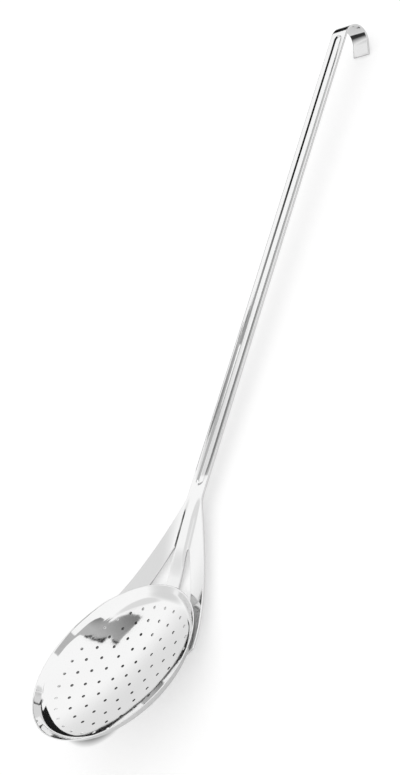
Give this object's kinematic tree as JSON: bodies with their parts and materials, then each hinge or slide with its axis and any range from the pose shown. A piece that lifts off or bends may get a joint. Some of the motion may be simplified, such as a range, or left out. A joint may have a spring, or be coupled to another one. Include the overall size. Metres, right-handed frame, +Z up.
{
  "type": "skimmer",
  "caption": "Kitchen skimmer: shallow round perforated bowl held by a forked foot on a long flat strip handle with a pressed channel, bent into a hook at its end.",
  "frame": {"origin": "centre of the skimmer's footprint as it lies, at the level of the surface under it", "axes": "+X along the handle from the bowl to the hook, +Z up with the bowl's hollow side up, +Y across the handle"},
  "size_m": [0.7077, 0.1594, 0.0681],
  "materials": {
    "bowl_steel": "mirror polished stainless steel",
    "handle_steel": "mirror polished stainless steel"
  },
  "bodies": {
    "root": {"bowl": "bowl_steel", "handle": "handle_steel"}
  },
  "joints": []
}
